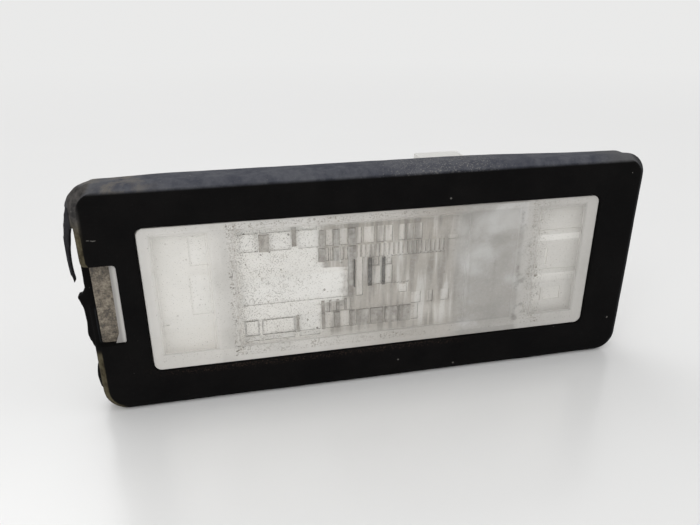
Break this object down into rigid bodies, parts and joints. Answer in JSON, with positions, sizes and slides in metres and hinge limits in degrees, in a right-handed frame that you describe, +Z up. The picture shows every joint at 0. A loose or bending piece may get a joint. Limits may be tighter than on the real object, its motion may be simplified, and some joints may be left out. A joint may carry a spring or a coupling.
{
  "type": "number plate lamp",
  "caption": "Oblong number plate lamp: fluted clear lens in a torn black rubber frame, with a wedge bulb in a pale clip-fitted housing and a two-way connector inlet.",
  "frame": {"origin": "centre of the rubber frame, in the plane that seats on the panel", "axes": "+Y is the way the lamp goes into the panel, so the lens looks along -Y; +X runs along the lamp, away from the release slot; +Z is up"},
  "size_m": [0.0734, 0.0303, 0.0298],
  "materials": {
    "frame_rubber": "matte black rubber, dusty on top, scuffed at its edges",
    "clear_plastic": "clear moulded plastic, slightly hazed, specks of dust inside",
    "spring_steel": "bright spring strip",
    "pale_plastic": "pale natural plastic, satin",
    "seal_rubber": "matte black",
    "grey_plastic": "grey heat-resistant plastic, satin",
    "contact_brass": "spring brass, satin",
    "tinned_blade": "tinned, satin",
    "bulb_glass": "clear glass",
    "bulb_wire": "dull wire",
    "patch": "matte white film"
  },
  "bodies": {
    "root": {"rubber_frame": "frame_rubber", "lens": "clear_plastic", "latch_spring": "spring_steel", "lamp_housing": "pale_plastic", "housing_seal": "seal_rubber", "bulb_holder": "grey_plastic", "contact_spring_upper": "contact_brass", "contact_spring_lower": "contact_brass", "terminal_upper": "tinned_blade", "terminal_lower": "tinned_blade", "contact_rivets": "contact_brass", "bulb_glass": "bulb_glass", "bulb_filament": "bulb_wire", "bulb_lead_upper": "bulb_wire", "bulb_lead_lower": "bulb_wire", "vent_membrane": "patch"}
  },
  "joints": []
}
